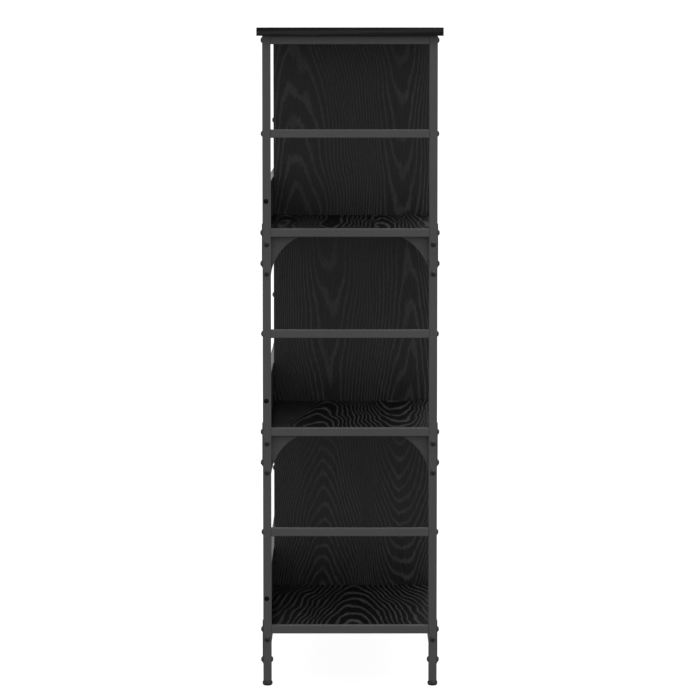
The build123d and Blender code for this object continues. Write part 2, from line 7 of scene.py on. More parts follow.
import logging
import math
from dataclasses import dataclass, field, replace
from enum import Enum
from typing import Any

import bmesh
import bpy
import numpy as np
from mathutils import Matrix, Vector


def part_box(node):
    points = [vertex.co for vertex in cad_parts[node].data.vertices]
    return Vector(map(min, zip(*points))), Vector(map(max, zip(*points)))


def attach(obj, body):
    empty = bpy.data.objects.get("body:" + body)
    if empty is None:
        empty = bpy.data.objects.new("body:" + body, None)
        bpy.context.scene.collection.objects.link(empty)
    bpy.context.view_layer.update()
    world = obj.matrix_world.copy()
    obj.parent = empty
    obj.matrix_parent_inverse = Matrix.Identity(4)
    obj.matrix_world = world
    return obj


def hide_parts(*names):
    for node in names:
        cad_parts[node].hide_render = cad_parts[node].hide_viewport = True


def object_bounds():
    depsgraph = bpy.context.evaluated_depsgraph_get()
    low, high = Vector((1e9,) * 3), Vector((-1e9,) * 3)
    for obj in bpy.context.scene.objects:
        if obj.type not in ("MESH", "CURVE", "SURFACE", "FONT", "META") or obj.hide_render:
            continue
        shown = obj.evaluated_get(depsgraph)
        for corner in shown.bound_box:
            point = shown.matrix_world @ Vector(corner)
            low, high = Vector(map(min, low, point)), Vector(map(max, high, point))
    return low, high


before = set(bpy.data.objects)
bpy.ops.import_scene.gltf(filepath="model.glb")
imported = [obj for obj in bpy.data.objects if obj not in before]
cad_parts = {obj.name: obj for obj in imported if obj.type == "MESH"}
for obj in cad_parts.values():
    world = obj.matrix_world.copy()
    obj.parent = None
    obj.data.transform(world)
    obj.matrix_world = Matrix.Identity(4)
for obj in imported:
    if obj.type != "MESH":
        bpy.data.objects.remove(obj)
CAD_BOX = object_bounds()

LOG = logging.getLogger("bookcase")
MM = 0.001
MERGE_MM = 0.001  # points nearer than this become one

COORDINATES = "ShaderNodeTexCoord"
MAPPING = "ShaderNodeMapping"
MATH = "ShaderNodeMath"
MIX = "ShaderNodeMix"
NOISE = "ShaderNodeTexNoise"
RANGE = "ShaderNodeMapRange"
BUMP = "ShaderNodeBump"


class Slot(Enum):
    """The record's material slots, named beside new pieces; each piece takes its finish from its own Finish,
    not from these.
    """

    FRAME = "powder_coated_steel"
    PLASTIC = "black_plastic"
    ZINC = "zinc_steel"


class Grain(Enum):
    """How a board lies: the axes across its grain, through its thickness and along its grain."""

    FLAT = "YZX"
    UPRIGHT = "YXZ"
    ON_EDGE = "ZYX"


# ---------------------------------------------------------------- small tools
def linear(hex_colour: str) -> tuple[float, float, float, float]:
    """Turn an sRGB hex colour to linear light.

    Args:
        hex_colour: six hexadecimal digits with a leading hash.

    Returns:
        Linear red, green and blue, and an alpha of 1.
    """
    encoded = np.array([int(hex_colour[i : i + 2], 16) for i in (1, 3, 5)]) / 255.0
    light = np.where(encoded <= 0.04045, encoded / 12.92, ((encoded + 0.055) / 1.055) ** 2.4)
    return (*(float(channel) for channel in light), 1.0)


def add(tree: bpy.types.NodeTree, kind: str, inputs: dict[Any, Any] | None = None,
        **settings: Any) -> bpy.types.Node:
    """Add one node with its settings and links.

    Args:
        tree: the material's or world's node tree.
        kind: the node's type name.
        inputs: socket name or number to a constant, to an output, or to a node whose first output is meant.
        settings: the node's own properties.

    Returns:
        The new node.
    """
    node = tree.nodes.new(kind)
    for name, value in settings.items():
        setattr(node, name, value)
    for key, value in (inputs or {}).items():
        if isinstance(value, bpy.types.Node):
            value = value.outputs[0]
        if isinstance(value, bpy.types.NodeSocket):
            tree.links.new(value, node.inputs[key])
        else:
            node.inputs[key].default_value = value
    return node


def arc(centre: tuple[float, float], radius: float, start_deg: float, end_deg: float,
        steps: int) -> np.ndarray:
    """Points on an arc: the centre plus the radius times the cosine and sine of evenly spaced angles.

    Args:
        centre: the arc's middle.
        radius: its radius, in the centre's unit.
        start_deg: angle of the first point.
        end_deg: angle of the last point.
        steps: how many points.

    Returns:
        An array of steps by 2 places.
    """
    angle = np.radians(np.linspace(start_deg, end_deg, steps))
    return np.stack([centre[0] + radius * np.cos(angle), centre[1] + radius * np.sin(angle)], axis=1)


def revolve(profile: np.ndarray, centre: Vector, around: int) -> np.ndarray:
    """Carry a profile round an upright axis: radius times cosine and sine, at the profile's height.

    Args:
        profile: N by 2 radii and heights above the centre.
        centre: a point on the axis.
        around: how many points go round.

    Returns:
        A grid of N by around by 3 places.
    """
    angle = np.linspace(0.0, 2 * math.pi, around, endpoint=False)[None, :]
    x = centre.x + profile[:, :1] * np.cos(angle)
    y = centre.y + profile[:, :1] * np.sin(angle)
    z = centre.z + profile[:, 1:] + 0 * angle
    return np.stack([x, y, z], axis=2)


def tube_mesh(name: str, grids: list[np.ndarray], sharp_deg: float) -> bpy.types.Object:
    """Make one mesh object at the origin from grids of points whose rows close round on themselves.

    Each quad joins a point to the next in its row and to the same two in the next row. Rows that shrink to
    a point close the ends: their points are merged, and the faces are turned outwards.

    Args:
        name: the piece's name.
        grids: rows by columns by 3 places in metres, one grid for each closed surface.
        sharp_deg: edges that turn by more than this stay sharp.

    Returns:
        The object, linked to the scene.
    """
    points, faces, count = [], [], 0
    for grid in grids:
        rows, columns = grid.shape[:2]
        row, column = np.meshgrid(np.arange(rows - 1), np.arange(columns), indexing="ij")
        near, after = row * columns + column, row * columns + (column + 1) % columns
        faces.append(count + np.stack([near, after, after + columns, near + columns], axis=2).reshape(-1, 4))
        points.append(grid.reshape(-1, 3))
        count += rows * columns
    mesh = bpy.data.meshes.new(name)
    mesh.from_pydata(np.concatenate(points).tolist(), [], np.concatenate(faces).tolist())
    work = bmesh.new()
    work.from_mesh(mesh)
    bmesh.ops.remove_doubles(work, verts=work.verts, dist=MERGE_MM * MM)
    bmesh.ops.recalc_face_normals(work, faces=work.faces)
    work.to_mesh(mesh)
    work.free()
    mesh.polygons.foreach_set("use_smooth", np.ones(len(mesh.polygons), bool))
    mesh.set_sharp_from_angle(angle=math.radians(sharp_deg))
    piece = bpy.data.objects.new(name, mesh)
    bpy.context.scene.collection.objects.link(piece)
    return piece


# ---------------------------------------------------------------- finishes
@dataclass(frozen=True)
class Finish:
    """A surface finish; each kind builds its own shader."""

    name: str

    def material(self) -> bpy.types.Material:
        """Build the material and its shader, or give the one already made."""
        found = bpy.data.materials.get(self.name)
        if found:
            return found
        made = bpy.data.materials.new(self.name)
        made.use_nodes = True
        made.node_tree.nodes.clear()
        shader = add(made.node_tree, "ShaderNodeBsdfPrincipled")
        add(made.node_tree, "ShaderNodeOutputMaterial", {"Surface": shader})
        self.shade(made.node_tree, shader)
        return made

    def shade(self, tree: bpy.types.NodeTree, shader: bpy.types.Node) -> None:
        """Add the finish's own nodes to the shader."""
        raise NotImplementedError

    def dress(self, *objects: bpy.types.Object) -> None:
        """Give this finish to whole objects.

        Args:
            objects: the pieces or CAD nodes.
        """
        for item in objects:
            item.data.materials.clear()
            item.data.materials.append(self.material())


@dataclass(frozen=True)
class PowderCoat(Finish):
    """Polyester powder baked on steel tube: an even matt dark grey with a fine orange-peel skin."""

    colour: str = "#3d3d3d"
    pale: str = "#444444"
    roughness: float = 0.6
    gloss_change: float = 0.05
    peel_mm: float = 1.6  # width of a bump of the skin; a real one is about 1 mm, too fine to show
    peel_depth_mm: float = 0.03
    peel_strength: float = 0.35
    cloud_mm: float = 90.0
    ior: float = 1.5
    reflection: float = 0.3

    def shade(self, tree: bpy.types.NodeTree, shader: bpy.types.Node) -> None:
        """Faint clouds of tone from uneven film, and bumps of the skin."""
        place = add(tree, COORDINATES).outputs["Object"]
        cloud = add(tree, NOISE, {"Vector": place, "Scale": 1 / (self.cloud_mm * MM), "Detail": 3.0})
        tone = add(tree, MIX, {0: cloud, 6: linear(self.colour), 7: linear(self.pale)}, data_type="RGBA")
        peel = add(tree, NOISE, {"Vector": place, "Scale": 1 / (self.peel_mm * MM), "Detail": 2.0})
        bump = add(tree, BUMP, {"Strength": self.peel_strength, "Distance": self.peel_depth_mm * MM,
                                "Height": peel})
        gloss = add(tree, RANGE, {"Value": peel, "To Min": self.roughness - self.gloss_change,
                                  "To Max": self.roughness + self.gloss_change})
        tree.links.new(tone.outputs[2], shader.inputs["Base Color"])
        tree.links.new(gloss.outputs[0], shader.inputs["Roughness"])
        tree.links.new(bump.outputs[0], shader.inputs["Normal"])
        shader.inputs["IOR"].default_value = self.ior
        shader.inputs["Specular IOR Level"].default_value = self.reflection


@dataclass(frozen=True)
class OakDecor(Finish):
    """Black oak decor foil on chipboard, pressed with an open grain: satin black with raised paler lines.

    A flat-sawn board shows its growth rings as height lines. The height is a cosine across the board, which
    makes the nested arches at its crests and hollows and the close straight lines between them, plus a slope
    along the board, which decides how far apart the arches follow each other, plus three sizes of noise.
    """

    grain: Grain = Grain.FLAT
    crest_mm: float = 0.0  # place across the board of one crest; arches there point against the slope
    span_mm: float = 150.0  # crest to hollow
    slope: float = 0.08
    seed: float = 0.0
    ring_mm: float = 5.2  # one growth ring where the lines are closest
    dark: str = "#0b0b0b"
    light: str = "#313131"
    bulge_mm: float = 16.0  # wandering of the lines
    ripple_mm: float = 5.0  # waves of the lines
    tooth_mm: float = 2.2  # ragged edge that cut pores give the lines
    fibre_mm: tuple[float, float] = (1.3, 30.0)  # width and length of a fibre; real ones are 0.3 mm wide
    fibre_share: float = 0.3  # how pale a fibre is beside a line
    banding: float = 0.12  # how much of the slope is left on a banded edge, whose lines run along it
    roughness: float = 0.26
    reflection: float = 0.29
    relief_mm: float = 0.06
    relief_strength: float = 0.5
    ior: float = 1.45
    line_rougher: float = 0.12  # how much rougher a raised line is than the ground
    lean_patch_mm: tuple[float, float] = (150.0, 380.0)  # patches of each noise, across and along the grain
    bulge_patch_mm: tuple[float, float] = (90.0, 420.0)
    ripple_patch_mm: tuple[float, float] = (26.0, 90.0)
    tooth_patch_mm: tuple[float, float] = (3.4, 7.0)
    fading_patch_mm: tuple[float, float] = (30.0, 160.0)
    lean: float = 0.5  # how far the crests wander sideways, in spans
    depth_share: float = 0.8  # how much of the height changes through the thickness
    edge_facing: float = 0.7  # a face that turns further than this from the thickness is a narrow edge
    line_share: tuple[float, float] = (0.05, 0.23)  # from a ring's start: full line, and its faded end
    faintest: float = 0.45  # strength of the lines in a faded patch
    strongest: float = 0.95
    noise_reach: tuple[float, float] = (0.3, 0.7)  # values that the noise stays within nearly everywhere
    seed_step: tuple[float, float, float] = (7.3, 3.1, 11.7)  # shift of the pattern from seed to seed

    def axes(self, tree: bpy.types.NodeTree) -> bpy.types.Node:
        """Give the board's own coordinates.

        Args:
            tree: the material's nodes.

        Returns:
            A node whose vector runs across the grain, through the board and along the grain. On a narrow
            edge, which has a band of the foil pressed on, it turns so that the lines run along the band.
        """
        place = add(tree, COORDINATES)
        parts = add(tree, "ShaderNodeSeparateXYZ", {0: place.outputs["Object"]})
        facing = add(tree, "ShaderNodeSeparateXYZ", {0: place.outputs["Normal"]})
        across, through, along = (parts.outputs["XYZ".index(axis)] for axis in self.grain.value)
        board = add(tree, "ShaderNodeCombineXYZ", {0: across, 1: through, 2: along})
        edge = add(tree, MATH, {0: across, 1: along}, operation="ADD")
        edge = add(tree, MATH, {0: edge, 1: self.banding}, operation="MULTIPLY")
        band = add(tree, "ShaderNodeCombineXYZ", {0: through, 1: through, 2: edge})
        flat = facing.outputs["XYZ".index(self.grain.value[1])]
        square = add(tree, MATH, {0: flat}, operation="ABSOLUTE")
        narrow = add(tree, MATH, {0: square, 1: self.edge_facing}, operation="LESS_THAN")
        turned = add(tree, MIX, {0: narrow, 4: board, 5: band}, data_type="VECTOR")
        return add(tree, MAPPING, {"Vector": turned.outputs[1]})

    def grain_noise(self, tree: bpy.types.NodeTree, axes: bpy.types.Node, size_mm: tuple[float, float],
                    octaves: float = 2.0) -> bpy.types.Node:
        """Noise from 0 to 1 whose patches have one size across the grain and another along it.

        Args:
            tree: the material's nodes.
            axes: the board's coordinates.
            size_mm: size of a patch across and along the grain.
            octaves: how many finer noises are added.

        Returns:
            The noise node.
        """
        width, length = (1 / (size * MM) for size in size_mm)
        first, second, third = (step * self.seed for step in self.seed_step)
        shift = (first, second, third + width * MM)
        scaled = add(tree, MAPPING, {"Vector": axes, "Scale": (width, width, length), "Location": shift})
        return add(tree, NOISE, {"Vector": scaled, "Scale": 1.0, "Detail": octaves})

    def rings(self, tree: bpy.types.NodeTree, axes: bpy.types.Node) -> bpy.types.Node:
        """Ring number at each point: the height that the class describes, over a ring's width.

        Args:
            tree: the material's nodes.
            axes: the board's coordinates.

        Returns:
            The node that gives the ring number.
        """
        parts = add(tree, "ShaderNodeSeparateXYZ", {0: axes})
        across, through, along = parts.outputs
        swing = self.span_mm * MM / math.pi
        lean = self.grain_noise(tree, axes, self.lean_patch_mm)
        side = add(tree, MATH, {0: lean, 1: self.lean * self.span_mm * MM, 2: across},
                   operation="MULTIPLY_ADD")
        turn = add(tree, MATH, {0: side, 1: 1 / swing, 2: -(self.crest_mm * MM / swing + math.pi / 4)},
                   operation="MULTIPLY_ADD")
        wave = add(tree, MATH, {0: turn}, operation="COSINE")
        height = add(tree, MATH, {0: wave, 1: swing}, operation="MULTIPLY")
        terms = (
            (along, self.slope),
            (through, self.depth_share),
            (self.grain_noise(tree, axes, self.bulge_patch_mm), self.bulge_mm * MM),
            (self.grain_noise(tree, axes, self.ripple_patch_mm), self.ripple_mm * MM),
            (self.grain_noise(tree, axes, self.tooth_patch_mm), self.tooth_mm * MM),
        )
        for term, weight in terms:
            height = add(tree, MATH, {0: term, 1: weight, 2: height}, operation="MULTIPLY_ADD")
        return add(tree, MATH, {0: height, 1: self.ring_mm * MM}, operation="DIVIDE")

    def shade(self, tree: bpy.types.NodeTree, shader: bpy.types.Node) -> None:
        """A paler raised line at each ring, weaker in some patches, with fine fibres over it."""
        axes = self.axes(tree)
        full, faded = self.line_share
        low, high = self.noise_reach
        ring = add(tree, MATH, {0: self.rings(tree, axes), 1: 0.5}, operation="PINGPONG")
        line = add(tree, RANGE, {"Value": ring, "From Min": full, "From Max": faded, "To Min": 1.0,
                                 "To Max": 0.0}, interpolation_type="SMOOTHSTEP")
        fading = self.grain_noise(tree, axes, self.fading_patch_mm)
        patch = add(tree, RANGE, {"Value": fading, "From Min": low, "From Max": high,
                                  "To Min": self.faintest, "To Max": self.strongest})
        fibres = self.grain_noise(tree, axes, self.fibre_mm)
        fibre = add(tree, RANGE, {"Value": fibres, "From Min": low, "From Max": high,
                                  "To Min": 0.0, "To Max": self.fibre_share})
        figure = add(tree, MATH, {0: line, 1: patch, 2: fibre}, operation="MULTIPLY_ADD")
        tone = add(tree, MIX, {0: figure, 6: linear(self.dark), 7: linear(self.light)}, data_type="RGBA")
        bump = add(tree, BUMP, {"Strength": self.relief_strength, "Distance": self.relief_mm * MM,
                                "Height": figure})
        gloss = add(tree, RANGE, {"Value": figure, "To Min": self.roughness,
                                  "To Max": self.roughness + self.line_rougher})
        tree.links.new(tone.outputs[2], shader.inputs["Base Color"])
        tree.links.new(gloss.outputs[0], shader.inputs["Roughness"])
        tree.links.new(bump.outputs[0], shader.inputs["Normal"])
        shader.inputs["IOR"].default_value = self.ior
        shader.inputs["Specular IOR Level"].default_value = self.reflection


@dataclass(frozen=True)
class BlackOxide(Finish):
    """Black oxide on steel bolts and screws, oiled: nearly black, with one soft highlight."""

    colour: str = "#040404"
    worn: str = "#0a0a0a"
    speckle_mm: float = 1.5
    roughness: float = 0.14
    smoother: float = 0.06  # how far the roughness falls and rises over the speckle
    rougher: float = 0.1
    reflection: float = 0.42

    def shade(self, tree: bpy.types.NodeTree, shader: bpy.types.Node) -> None:
        """Speckle where the oxide is thinner."""
        place = add(tree, COORDINATES).outputs["Object"]
        speckle = add(tree, NOISE, {"Vector": place, "Scale": 1 / (self.speckle_mm * MM), "Detail": 4.0})
        tone = add(tree, MIX, {0: speckle, 6: linear(self.colour), 7: linear(self.worn)}, data_type="RGBA")
        gloss = add(tree, RANGE, {"Value": speckle, "To Min": self.roughness - self.smoother,
                                  "To Max": self.roughness + self.rougher})
        tree.links.new(tone.outputs[2], shader.inputs["Base Color"])
        tree.links.new(gloss.outputs[0], shader.inputs["Roughness"])
        shader.inputs["Specular IOR Level"].default_value = self.reflection


@dataclass(frozen=True)
class ZincPlate(Finish):
    """Bright zinc plating on nuts, sleeves and studs: cool grey metal with a fine spangle."""

    colour: str = "#b4b8bc"
    dull: str = "#9a9ea3"
    spangle_mm: float = 2.0
    roughness: tuple[float, float] = (0.28, 0.42)  # from a cell's middle to its edge

    def shade(self, tree: bpy.types.NodeTree, shader: bpy.types.Node) -> None:
        """Cells of slightly different tone and gloss."""
        place = add(tree, COORDINATES).outputs["Object"]
        cells = add(tree, "ShaderNodeTexVoronoi", {"Vector": place, "Scale": 1 / (self.spangle_mm * MM)})
        tone = add(tree, MIX, {0: cells, 6: linear(self.colour), 7: linear(self.dull)}, data_type="RGBA")
        smooth, rough = self.roughness
        gloss = add(tree, RANGE, {"Value": cells, "To Min": smooth, "To Max": rough})
        tree.links.new(tone.outputs[2], shader.inputs["Base Color"])
        tree.links.new(gloss.outputs[0], shader.inputs["Roughness"])
        shader.inputs["Metallic"].default_value = 1.0


@dataclass(frozen=True)
class MouldedPlastic(Finish):
    """Injection-moulded polypropylene with a spark-eroded texture: soft black, low gloss."""

    colour: str = "#161616"
    pale: str = "#222222"
    grit_mm: float = 0.8  # a real grit is about 0.1 mm, too fine to show
    grit_depth_mm: float = 0.04
    grit_strength: float = 0.5
    roughness: float = 0.5
    reflection: float = 0.35

    def shade(self, tree: bpy.types.NodeTree, shader: bpy.types.Node) -> None:
        """Grit of the mould in tone and relief."""
        place = add(tree, COORDINATES).outputs["Object"]
        grit = add(tree, NOISE, {"Vector": place, "Scale": 1 / (self.grit_mm * MM), "Detail": 3.0})
        tone = add(tree, MIX, {0: grit, 6: linear(self.colour), 7: linear(self.pale)}, data_type="RGBA")
        bump = add(tree, BUMP, {"Strength": self.grit_strength, "Distance": self.grit_depth_mm * MM,
                                "Height": grit})
        tree.links.new(tone.outputs[2], shader.inputs["Base Color"])
        tree.links.new(bump.outputs[0], shader.inputs["Normal"])
        shader.inputs["Roughness"].default_value = self.roughness
        shader.inputs["Specular IOR Level"].default_value = self.reflection


@dataclass(frozen=True)
class Beech(Finish):
    """Compressed beech of the dowels: pale pinkish brown with short darker flecks."""

    colour: str = "#c99f72"
    fleck: str = "#a87c51"
    fleck_mm: tuple[float, float] = (0.6, 6.0)  # width and length, upright as the dowels stand
    roughness: float = 0.6

    def shade(self, tree: bpy.types.NodeTree, shader: bpy.types.Node) -> None:
        """Flecks along the dowel."""
        width, length = (1 / (size * MM) for size in self.fleck_mm)
        place = add(tree, COORDINATES).outputs["Object"]
        stretched = add(tree, MAPPING, {"Vector": place, "Scale": (width, width, length)})
        flecks = add(tree, NOISE, {"Vector": stretched, "Scale": 1.0, "Detail": 2.0})
        tone = add(tree, MIX, {0: flecks, 6: linear(self.colour), 7: linear(self.fleck)}, data_type="RGBA")
        tree.links.new(tone.outputs[2], shader.inputs["Base Color"])
        shader.inputs["Roughness"].default_value = self.roughness


@dataclass(frozen=True)
class LitPaper(Finish):
    """Studio paper lit from behind: white, so that shadows on it are faint."""

    colour: str = "#ffffff"
    tint: str = "#808080"
    glow: float = 0.94

    def shade(self, tree: bpy.types.NodeTree, shader: bpy.types.Node) -> None:
        """An even glow with a little of the studio's light on it."""
        shader.inputs["Base Color"].default_value = linear(self.tint)
        shader.inputs["Roughness"].default_value = 1.0
        shader.inputs["Specular IOR Level"].default_value = 0.0
        shader.inputs["Emission Color"].default_value = linear(self.colour)
        shader.inputs["Emission Strength"].default_value = self.glow


# ---------------------------------------------------------------- the object
# The shelves' decor has wider rings, a stronger print and a matt lacquer: dark even when seen from low down.
SHELF = OakDecor("oak_shelf", Grain.FLAT, ring_mm=7.0, dark="#080808", light="#3b3b3b", fibre_share=0.06,
                 roughness=0.5, reflection=0.02)


@dataclass
class Boards:
    """The oak boards: three shelves with their dividers and guards, and the top."""

    finishes: dict[str, OakDecor] = field(default_factory=lambda: {
        "top_board": OakDecor("oak_top", Grain.FLAT, 30, 130, 0.05, seed=1, ring_mm=6.0, dark="#080808",
                              light="#252525", fibre_share=0.15, reflection=0.14),
        "shelf_lower": replace(SHELF, name="oak_shelf_lower", crest_mm=-172, span_mm=164, slope=0.11, seed=2,
                               ring_mm=9.0),
        "shelf_middle": replace(SHELF, name="oak_shelf_middle", crest_mm=-85, span_mm=140, slope=0.06,
                                seed=3),
        "shelf_upper": replace(SHELF, name="oak_shelf_upper", crest_mm=35, span_mm=90, slope=0.02, seed=4,
                               bulge_mm=34),
        "divider_lower": OakDecor("oak_divider_lower", Grain.UPRIGHT, -103, 150, 0.2, seed=5),
        "divider_middle": OakDecor("oak_divider_middle", Grain.UPRIGHT, 36, 144, 0.06, seed=6),
        "divider_upper": OakDecor("oak_divider_upper", Grain.UPRIGHT, -86, 186, 0.08, seed=7),
        "back_guard_lower": OakDecor("oak_guard_lower", Grain.ON_EDGE, 140, 90, 0.03, seed=8),
        "back_guard_middle": OakDecor("oak_guard_middle", Grain.ON_EDGE, 480, 110, -0.03, seed=9),
        "back_guard_upper": OakDecor("oak_guard_upper", Grain.ON_EDGE, 900, 80, 0.04, seed=10),
    })

    def dress(self) -> None:
        """Give each board its own stretch of the decor."""
        for node, finish in self.finishes.items():
            finish.dress(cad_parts[node])
            LOG.info("%s: dressed", node)


@dataclass
class SteelFrame:
    """Posts, rails, gussets and brackets, and the welds that hold the gussets to their rails."""

    finish: PowderCoat = PowderCoat("powder_coated_tube")
    gusset_reach_mm: float = 52.0
    inset_mm: float = 3.0  # from the weld's end to the plate's end
    leg_mm: float = 1.8
    ripple_mm: float = 2.4
    ripple_share: float = 0.12
    taper: float = 12.0  # the weld is full at one part in this many of its run
    steps: int = 90
    around: int = 9
    sharp_deg: float = 80.0
    starts: tuple[str, ...] = ("post_", "side_rail_left", "side_rail_right", "front_rail", "back_rail",
                               "side_gussets", "corner_brackets")

    def dress(self) -> None:
        """Coat every steel node of the frame."""
        nodes = [node for name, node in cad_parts.items() if name.startswith(self.starts)]
        self.finish.dress(*nodes)
        LOG.info("steel frame: %d nodes coated", len(nodes))

    def weld(self, start: Vector, length: float, outward: int) -> np.ndarray:
        """One fillet weld along Y in the corner between a rail's underside and a gusset plate.

        Each section is a quarter round about the corner line, closed at the corner. Its radius rises and
        falls as the sine of the distance run, and tapers to nothing at both ends as a square root.

        Args:
            start: the corner line's first point.
            length: length of the run along Y; a negative one runs towards -Y.
            outward: 1 where the plate's open face looks to +X, and -1 where it looks to -X.

        Returns:
            A grid of points.
        """
        run = np.linspace(0.0, 1.0, self.steps)[:, None]
        angle = np.linspace(0.0, math.pi / 2, self.around)[None, :]
        ripples = abs(length) / (self.ripple_mm * MM)
        leg = self.leg_mm * MM * (1 + self.ripple_share * np.sin(2 * math.pi * ripples * run))
        leg = leg * np.sqrt(np.clip(self.taper * np.minimum(run, 1 - run), 0.0, 1.0))
        x = start.x + outward * leg * np.cos(angle)
        y = start.y + length * run + 0 * angle
        z = start.z - leg * np.sin(angle)
        root = np.stack([np.full_like(run, start.x), start.y + length * run,
                         np.full_like(run, start.z)], axis=2)
        return np.concatenate([np.stack([x, y, z], axis=2), root], axis=1)

    def build_welds(self) -> None:
        """Make the welds of all eight gussets as one piece."""
        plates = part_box("side_gussets")
        inset = self.inset_mm * MM
        grids = []
        for level in ("middle", "upper"):
            rail_low, rail_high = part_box(f"side_rail_left_{level}_shelf")
            for plate, outward in zip(plates, (-1, 1)):
                for end, inward in ((rail_low.y, 1), (rail_high.y, -1)):
                    corner = Vector((plate.x, end + inward * inset, rail_low.z))
                    grids.append(self.weld(corner, inward * (self.gusset_reach_mm * MM - 2 * inset), outward))
        piece = tube_mesh("gusset_welds", grids, self.sharp_deg)
        self.finish.dress(piece)
        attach(piece, "frame")
        LOG.info("gusset_welds: %d faces", len(piece.data.polygons))


@dataclass
class Fasteners:
    """Bolts, nuts, screws, sleeves, inserts and dowels, which keep their CAD shapes."""

    groups: tuple[tuple[Finish, tuple[str, ...]], ...] = (
        (BlackOxide("black_oxide_steel"), ("rail_bolts", "splice_bolts", "barrel_nuts", "guard_screws",
                                           "board_screws")),
        (ZincPlate("bright_zinc"), ("side_rail_nuts", "long_rail_nuts", "splice_sleeves")),
        (MouldedPlastic("moulded_polypropylene"), ("foot_inserts",)),
        (Beech("beech_dowel"), ("dowels",)),
    )

    def dress(self) -> None:
        """Give each group its finish."""
        for finish, names in self.groups:
            finish.dress(*(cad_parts[name] for name in names))
            LOG.info("%s: %s", finish.name, ", ".join(names))


@dataclass
class LevellingFeet:
    """Four glides: a moulded pad on a threaded zinc stud that winds up into the post."""

    height_mm: float = 9.0
    low_round_mm: float = 4.0
    top_round_mm: float = 3.0
    round_steps: tuple[int, int] = (12, 8)
    dish_mm: float = 0.25  # hollow of the underside
    dish_shares: tuple[float, float] = (0.52, 0.56)  # its flat and its rim, in radii
    flat_share: float = 0.62  # flat of the top, in radii
    seam_share: float = 0.58  # height of the mould's parting groove
    seam_mm: float = 0.35
    seam_depth: float = 0.6  # in half widths
    stud_mm: float = 8.0
    pitch_mm: float = 1.25
    thread_mm: float = 0.68  # depth of the thread
    flank: float = 1.3  # steepness of its flanks, which leaves flats at crest and root
    crest: float = 0.12
    chamfer_mm: float = 0.9
    sink_mm: float = 1.0  # stud's foot inside the pad
    around: int = 72
    rows_per_pitch: int = 10
    sharp_deg: float = 40.0
    pad_finish: MouldedPlastic = MouldedPlastic("moulded_polypropylene")
    stud_finish: ZincPlate = ZincPlate("bright_zinc")

    def pad_profile(self, radius: float) -> np.ndarray:
        """Outline of the pad: hollow, rim, a low round, the parting groove, a top round and the flat top.

        Args:
            radius: the pad's outside radius in metres.

        Returns:
            Radius and height of each point, from the middle of the underside to the middle of the top.
        """
        height, low, top = self.height_mm * MM, self.low_round_mm * MM, self.top_round_mm * MM
        dish, seam, middle = self.dish_mm * MM, self.seam_mm * MM, self.seam_share * self.height_mm * MM
        hollow, rim = (share * radius for share in self.dish_shares)
        low_steps, top_steps = self.round_steps
        return np.concatenate([
            [(0.0, dish), (hollow, dish), (rim, 0.0)],
            arc((radius - low, low), low, -90, 0, low_steps),
            [(radius, middle - seam), (radius - self.seam_depth * seam, middle), (radius, middle + seam)],
            arc((radius - top, height - top), top, 0, 90, top_steps),
            [(self.flat_share * radius, height), (0.0, height)],
        ])

    def thread(self, centre: Vector, length: float) -> np.ndarray:
        """Threaded stud upwards from a centre.

        The radius falls from the outside by the thread's depth times a triangle wave of the height in pitches
        less the turn round the axis, flattened at crest and root. It shrinks at the chamfered upper end, and
        both ends shrink to the axis.

        Args:
            centre: the stud's lowest point.
            length: its length in metres.

        Returns:
            A grid of points.
        """
        rows = int(length / (self.pitch_mm * MM) * self.rows_per_pitch)
        height = np.linspace(0.0, length, rows)[:, None]
        angle = np.linspace(0.0, 2 * math.pi, self.around, endpoint=False)[None, :]
        turn = (height / (self.pitch_mm * MM) - angle / (2 * math.pi)) % 1.0
        wave = np.clip(self.flank * (1 - np.abs(2 * turn - 1)) - self.crest, 0.0, 1.0)
        outside = self.stud_mm / 2 * MM
        radius = outside - self.thread_mm * MM * wave
        radius = np.minimum(radius, outside - np.clip(height - length + self.chamfer_mm * MM, 0.0, None))
        radius = np.concatenate([np.zeros((1, self.around)), radius, np.zeros((1, self.around))])
        height = np.concatenate([height[:1], height, height[-1:]])
        x, y = centre.x + radius * np.cos(angle), centre.y + radius * np.sin(angle)
        return np.stack([x, y, centre.z + height + 0 * angle], axis=2)

    def build(self) -> None:
        """Make a pad and a stud in place of each foot's plain solid."""
        for name in ("front_left", "front_right", "back_left", "back_right"):
            low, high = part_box(f"levelling_foot_{name}")
            centre = Vector(((low.x + high.x) / 2, (low.y + high.y) / 2, low.z))
            root = centre + Vector((0, 0, (self.height_mm - self.sink_mm) * MM))
            outline = revolve(self.pad_profile((high.x - low.x) / 2), centre, self.around)
            pad = tube_mesh(f"foot_pad_{name}", [outline], self.sharp_deg)
            stud = tube_mesh(f"foot_stud_{name}", [self.thread(root, high.z - root.z)], self.sharp_deg)
            for piece, finish, slot in ((pad, self.pad_finish, Slot.PLASTIC),
                                        (stud, self.stud_finish, Slot.ZINC)):
                finish.dress(piece)
                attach(piece, f"foot_{name}")
            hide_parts(f"levelling_foot_{name}")
            LOG.info("foot %s: pad and stud", name)


# ---------------------------------------------------------------- the studio
@dataclass(frozen=True)
class Softbox:
    """A square soft lamp: where it stands and its side in metres, and its power in watts."""

    name: str
    place: tuple[float, float, float]
    side: float
    power: float


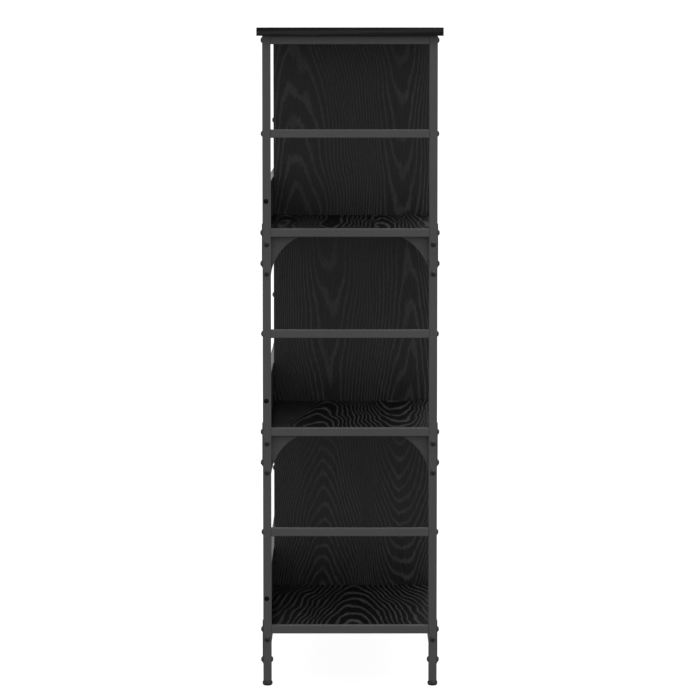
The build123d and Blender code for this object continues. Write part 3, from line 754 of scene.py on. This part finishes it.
@dataclass
class Studio:
    """White paper floor that curves up into walls, an overcast light, three soft lamps and the camera."""

    eye_from_frame: float = 6.528  # camera to the near side frame, in metres
    eye_height: float = 1.194
    pitch_deg: float = 5.085
    lens_mm: float = 186.9
    foot_travel: float = 0.01  # the paper lies this far down, clear of the feet when they are wound out
    floor_radius: float = 30.0
    curve_radius: float = 8.0
    wall_height: float = 60.0
    bend_steps: int = 24
    around: int = 96
    sharp_deg: float = 60.0
    overhead: float = 1.25  # brightness of the surroundings straight up, level and straight down
    level: float = 0.75
    below: float = 0.2
    softboxes: tuple[Softbox, ...] = (
        Softbox("overhead", (-1.2, -0.6, 4.0), 2.4, 60.0),
        Softbox("front_fill", (-1.6, -3.2, 2.2), 2.2, 20.0),
        Softbox("back_fill", (-0.6, 3.4, 2.2), 2.2, 15.0),
    )

    def paper(self) -> None:
        """A round floor that turns up into a wall: flat, then a quarter arc, then upright.

        It is seen by the camera only, so the surroundings alone light the bookcase from every side.
        """
        radius, bend = self.floor_radius, self.curve_radius
        profile = np.concatenate([[(0.0, 0.0)], arc((radius, bend), bend, -90, 0, self.bend_steps),
                                  [(radius + bend, self.wall_height)]])
        bowl = revolve(profile, Vector((0, 0, -self.foot_travel)), self.around)
        piece = tube_mesh("studio_paper", [bowl], self.sharp_deg)
        LitPaper("lit_paper").dress(piece)
        piece.visible_diffuse = piece.visible_glossy = piece.visible_shadow = False

    def surroundings(self) -> None:
        """Light that falls off evenly from straight up to level, and again to straight down."""
        world = bpy.data.worlds.new("studio_surroundings")
        world.use_nodes = True
        tree = world.node_tree
        tree.nodes.clear()
        rise = add(tree, "ShaderNodeSeparateXYZ", {0: add(tree, COORDINATES).outputs["Generated"]}).outputs[2]
        lower = add(tree, RANGE, {"Value": rise, "From Min": -1.0, "From Max": 0.0, "To Min": self.below,
                                  "To Max": self.level})
        upper = add(tree, RANGE, {"Value": rise, "From Min": 0.0, "From Max": 1.0, "To Min": 0.0,
                                  "To Max": self.overhead - self.level})
        strength = add(tree, MATH, {0: lower, 1: upper}, operation="ADD")
        light = add(tree, "ShaderNodeBackground", {"Color": linear("#ffffff"), "Strength": strength})
        add(tree, "ShaderNodeOutputWorld", {"Surface": light})
        bpy.context.scene.world = world

    def light(self, softbox: Softbox) -> None:
        """Hang a soft lamp so that it looks at the middle of the bookcase.

        Args:
            softbox: its name, place, side and power.
        """
        data = bpy.data.lights.new(softbox.name, "AREA")
        data.size, data.energy = softbox.side, softbox.power
        lamp = bpy.data.objects.new(softbox.name, data)
        lamp.location = softbox.place
        middle = (CAD_BOX[0] + CAD_BOX[1]) / 2
        lamp.rotation_euler = (middle - lamp.location).to_track_quat("-Z", "Y").to_euler()
        bpy.context.scene.collection.objects.link(lamp)

    def camera(self) -> None:
        """Camera beyond the left end, level across and tilted down."""
        data = bpy.data.cameras.new("camera")
        data.lens = self.lens_mm
        eye = bpy.data.objects.new("camera", data)
        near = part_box("side_rail_left_top")[0].x
        eye.location = (near - self.eye_from_frame, 0.0, self.eye_height)
        eye.rotation_euler = (math.radians(90 - self.pitch_deg), 0.0, math.radians(-90))
        bpy.context.scene.collection.objects.link(eye)
        bpy.context.scene.camera = eye

    def build(self) -> None:
        """Set up the whole studio."""
        self.paper()
        self.surroundings()
        for softbox in self.softboxes:
            self.light(softbox)
        self.camera()
        bpy.context.scene.view_settings.view_transform = "Standard"


def main() -> None:
    """Build the classes in order."""
    logging.basicConfig(level=logging.INFO, format="%(name)s: %(message)s")
    Boards().dress()
    steel = SteelFrame()
    steel.dress()
    steel.build_welds()
    Fasteners().dress()
    LevellingFeet().build()
    Studio().build()


if __name__ == "__main__":
    main()
